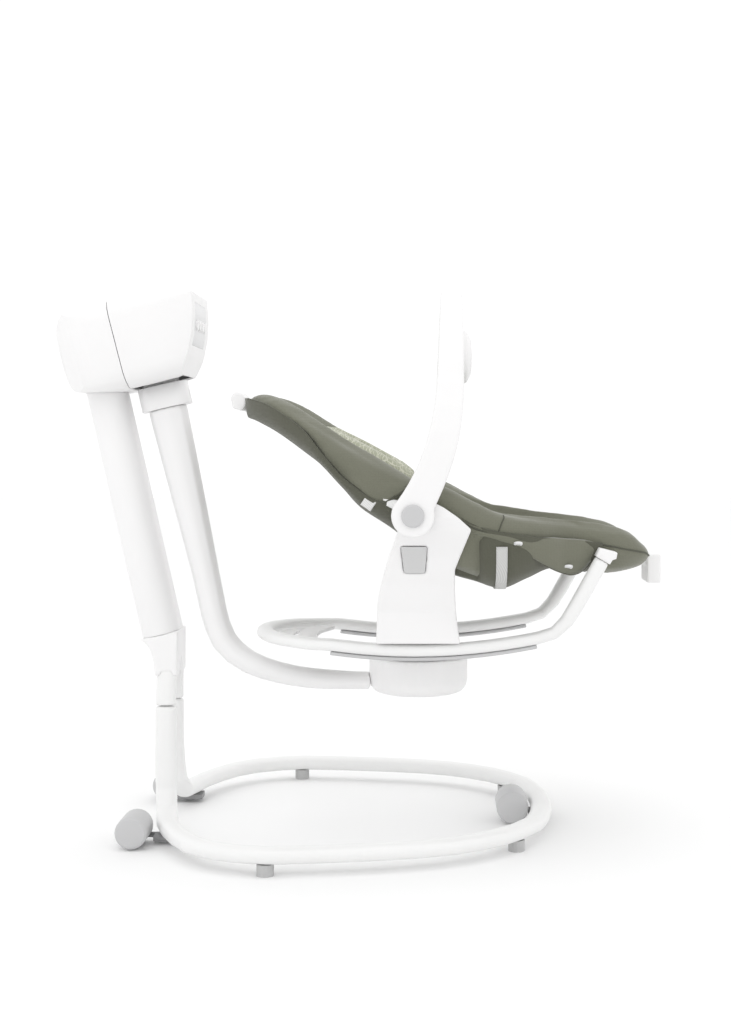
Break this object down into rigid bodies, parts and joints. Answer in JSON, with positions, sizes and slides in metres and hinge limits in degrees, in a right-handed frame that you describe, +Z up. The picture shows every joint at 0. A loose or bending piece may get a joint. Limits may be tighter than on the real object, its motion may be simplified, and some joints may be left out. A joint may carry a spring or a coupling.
{
  "type": "baby swing",
  "caption": "Baby swing: a floor loop and leaning mast carry a motor pod whose hanging arm swings a turntable; the reclining rocker seat with toy bar lifts off and turns.",
  "frame": {"origin": "centre of the bounding box at the floor", "axes": "+X towards the child's feet, +Y towards the child's left, +Z up"},
  "size_m": [0.8481, 0.5606, 0.755],
  "materials": {
    "white_paint": "satin powder coat",
    "white_plastic": "satin moulded",
    "grey_plastic": "satin moulded",
    "dark_plastic": "matt moulded",
    "rubber": "matt",
    "steel": "turned",
    "copper": "wound wire",
    "board": "printed board",
    "olive_fabric": "woven",
    "insert_fabric": "printed weave"
  },
  "bodies": {
    "stand": {"base_loop": "white_paint", "leg_left": "white_paint", "leg_right": "white_paint", "mast_yoke": "white_plastic", "mast": "white_plastic", "foot_rear_left": "rubber", "foot_rear_right": "rubber", "foot_front_left": "rubber", "foot_front_right": "rubber", "roller_bracket_left": "dark_plastic", "roller_bracket_right": "dark_plastic", "roller_bracket_front": "dark_plastic", "pod_rear_shell": "white_plastic", "pod_front_shell": "white_plastic", "control_panel": "grey_plastic", "drive_chassis": "steel", "bearing_rear": "steel", "bearing_front": "steel", "drive_coil": "copper", "circuit_board": "board", "dc_inlet": "dark_plastic"},
    "mast_lock": {"mast_lock_button": "dark_plastic"},
    "left_roller": {"roller_left": "grey_plastic"},
    "right_roller": {"roller_right": "grey_plastic"},
    "front_roller": {"roller_front": "grey_plastic"},
    "power_key": {"power_button": "white_plastic"},
    "speed_key": {"speed_button": "white_plastic"},
    "timer_key": {"timer_button": "white_plastic"},
    "sound_key": {"sound_button": "white_plastic"},
    "release_key": {"release_button": "dark_plastic"},
    "swinging_arm": {"pivot_shaft": "steel", "swing_hanger": "white_plastic", "drive_magnet": "steel", "swing_arm": "white_plastic", "hub_bowl": "white_plastic"},
    "turntable": {"turntable_disc": "grey_plastic"},
    "rocker": {"rocker_loop": "white_paint", "rear_plate": "white_plastic", "dock_plate": "white_plastic", "grip_strip_left": "grey_plastic", "grip_strip_right": "grey_plastic", "pillar_left": "white_plastic", "pillar_right": "white_plastic", "pivot_cap_left": "grey_plastic", "pivot_cap_right": "grey_plastic", "leg_hoop": "white_paint", "leg_clamp_left": "white_plastic", "leg_clamp_right": "white_plastic", "seat_cover": "olive_fabric", "harness_buckle": "grey_plastic", "vibration_unit": "white_plastic"},
    "left_latch": {"pillar_latch_left": "grey_plastic"},
    "right_latch": {"pillar_latch_right": "grey_plastic"},
    "vibration_key": {"vibration_button": "grey_plastic"},
    "toy_arch": {"toy_bar": "white_plastic", "toy_light": "grey_plastic"},
    "backrest": {"back_hoop": "white_paint", "back_cover": "olive_fabric", "insert_pad": "insert_fabric"},
    "recline_grip": {"recline_lever": "white_plastic"}
  },
  "joints": [
    {"name": "swing", "type": "hinge", "parent": "stand", "child": "swinging_arm", "pos_m": [-0.3, 0, 0.685], "axis": [0.9744, 0, 0.225], "range_deg": [-12, 12]},
    {"name": "seat_turn", "type": "hinge", "parent": "swinging_arm", "child": "turntable", "pos_m": [0.082, 0, 0.24], "axis": [0, 0, 1], "range_deg": [-90, 90]},
    {"name": "rocker_lift", "type": "slide", "parent": "turntable", "child": "rocker", "axis": [0, 0, 1], "range_m": [0, 0.1]},
    {"name": "backrest_recline", "type": "hinge", "parent": "rocker", "child": "backrest", "pos_m": [0.0765, 0, 0.445], "axis": [0, 1, 0], "range_deg": [0, 20]},
    {"name": "toy_bar_tilt", "type": "hinge", "parent": "rocker", "child": "toy_arch", "pos_m": [0.0765, 0, 0.445], "axis": [0, 1, 0], "range_deg": [-45, 50]},
    {"name": "left_roller_spin", "type": "hinge", "parent": "stand", "child": "left_roller", "pos_m": [-0.297, 0.134, 0.0235], "axis": [0, 1, 0], "continuous": true},
    {"name": "right_roller_spin", "type": "hinge", "parent": "stand", "child": "right_roller", "pos_m": [-0.297, -0.134, 0.0235], "axis": [0, 1, 0], "continuous": true},
    {"name": "front_roller_spin", "type": "hinge", "parent": "stand", "child": "front_roller", "pos_m": [0.215, 0, 0.0245], "axis": [0, 1, 0], "continuous": true},
    {"name": "power_press", "type": "slide", "parent": "stand", "child": "power_key", "axis": [-0.9959, 0, 0.0908], "range_m": [0, 0.0015], "stiffness_N_per_m": 250, "springref_m": -0.001},
    {"name": "speed_press", "type": "slide", "parent": "stand", "child": "speed_key", "axis": [-0.9959, 0, 0.0908], "range_m": [0, 0.0015], "stiffness_N_per_m": 250, "springref_m": -0.001},
    {"name": "timer_press", "type": "slide", "parent": "stand", "child": "timer_key", "axis": [-0.9959, 0, 0.0908], "range_m": [0, 0.0015], "stiffness_N_per_m": 250, "springref_m": -0.001},
    {"name": "sound_press", "type": "slide", "parent": "stand", "child": "sound_key", "axis": [-0.9959, 0, 0.0908], "range_m": [0, 0.0015], "stiffness_N_per_m": 250, "springref_m": -0.001},
    {"name": "release_press", "type": "slide", "parent": "stand", "child": "release_key", "axis": [0.225, 0, -0.9744], "range_m": [0, 0.003], "stiffness_N_per_m": 250, "springref_m": -0.001},
    {"name": "mast_lock_press", "type": "slide", "parent": "stand", "child": "mast_lock", "axis": [0.9744, 0, 0.225], "range_m": [0, 0.003], "stiffness_N_per_m": 250, "springref_m": -0.001},
    {"name": "left_latch_press", "type": "slide", "parent": "rocker", "child": "left_latch", "axis": [0, -1, 0], "range_m": [0, 0.002], "stiffness_N_per_m": 250, "springref_m": -0.001},
    {"name": "right_latch_press", "type": "slide", "parent": "rocker", "child": "right_latch", "axis": [0, 1, 0], "range_m": [0, 0.002], "stiffness_N_per_m": 250, "springref_m": -0.001},
    {"name": "vibration_press", "type": "slide", "parent": "rocker", "child": "vibration_key", "axis": [-1, 0, 0], "range_m": [0, 0.0015], "stiffness_N_per_m": 250, "springref_m": -0.001},
    {"name": "recline_squeeze", "type": "slide", "parent": "backrest", "child": "recline_grip", "axis": [0.8412, 0, -0.5408], "range_m": [0, 0.0025], "stiffness_N_per_m": 300, "springref_m": -0.002}
  ]
}
